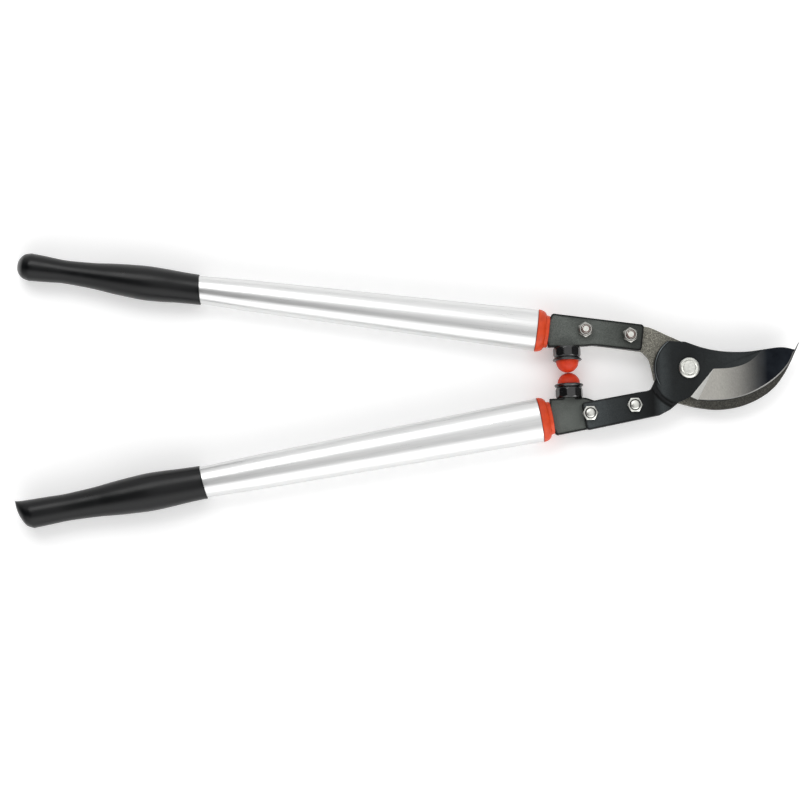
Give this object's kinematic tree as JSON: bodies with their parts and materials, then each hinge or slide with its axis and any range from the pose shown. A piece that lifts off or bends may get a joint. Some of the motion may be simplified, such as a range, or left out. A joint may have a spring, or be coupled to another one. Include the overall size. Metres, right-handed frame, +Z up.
{
  "type": "bypass loppers",
  "caption": "Long-handled bypass loppers with oval aluminium handles, bolted steel straps, a curved cutting blade and hook on one pivot, and rubber bumpers.",
  "frame": {"origin": "on the pivot axis, at the flat end of the pivot bolt that the tool rests on", "axes": "+X along the tool's centre line towards the blade's tip, +Y towards the handle that carries the hook, +Z up through the pivot, out of the side with the pivot bolt's head"},
  "size_m": [0.7582, 0.266, 0.035],
  "materials": {
    "strap_steel": "dark grey phosphated plate, satin and faintly grainy",
    "blade_steel": "blackened satin steel with a bright ground bevel",
    "hook_steel": "rough shot-blasted forging, matt",
    "zinc_steel": "bright zinc plated",
    "tube_aluminium": "satin anodised",
    "grip_rubber": "smooth satin black",
    "cup_plastic": "glossy black moulding",
    "collar_plastic": "satin red-orange moulding",
    "dome_elastomer": "satin red-orange elastomer",
    "insert_nylon": "natural nylon",
    "nut_ring_nylon": "red-brown nylon"
  },
  "bodies": {
    "hook_side": {"upper_tube": "tube_aluminium", "upper_grip": "grip_rubber", "upper_collar": "collar_plastic", "upper_insert": "insert_nylon", "upper_strap": "strap_steel", "upper_bumper_cup": "cup_plastic", "upper_bumper_dome": "dome_elastomer", "hook_blade": "hook_steel", "hook_bolt_1": "zinc_steel", "hook_bolt_2": "zinc_steel", "hook_nut_1": "zinc_steel", "hook_nut_2": "zinc_steel", "hook_nut_ring_1": "nut_ring_nylon", "hook_nut_ring_2": "nut_ring_nylon", "pivot_bolt": "zinc_steel", "pivot_washer": "zinc_steel", "pivot_nut": "zinc_steel", "pivot_nut_ring": "nut_ring_nylon"},
    "blade_side": {"lower_tube": "tube_aluminium", "lower_grip": "grip_rubber", "lower_collar": "collar_plastic", "lower_insert": "insert_nylon", "lower_strap": "strap_steel", "lower_bumper_cup": "cup_plastic", "lower_bumper_dome": "dome_elastomer", "cutting_blade": "blade_steel", "blade_bolt_1": "zinc_steel", "blade_bolt_2": "zinc_steel", "blade_nut_1": "zinc_steel", "blade_nut_2": "zinc_steel", "blade_nut_ring_1": "nut_ring_nylon", "blade_nut_ring_2": "nut_ring_nylon"}
  },
  "joints": [
    {"name": "blade_pivot", "type": "hinge", "parent": "hook_side", "child": "blade_side", "pos_m": [0, 0, 0.0175], "axis": [0, 0, 1], "range_deg": [0, 80]}
  ]
}
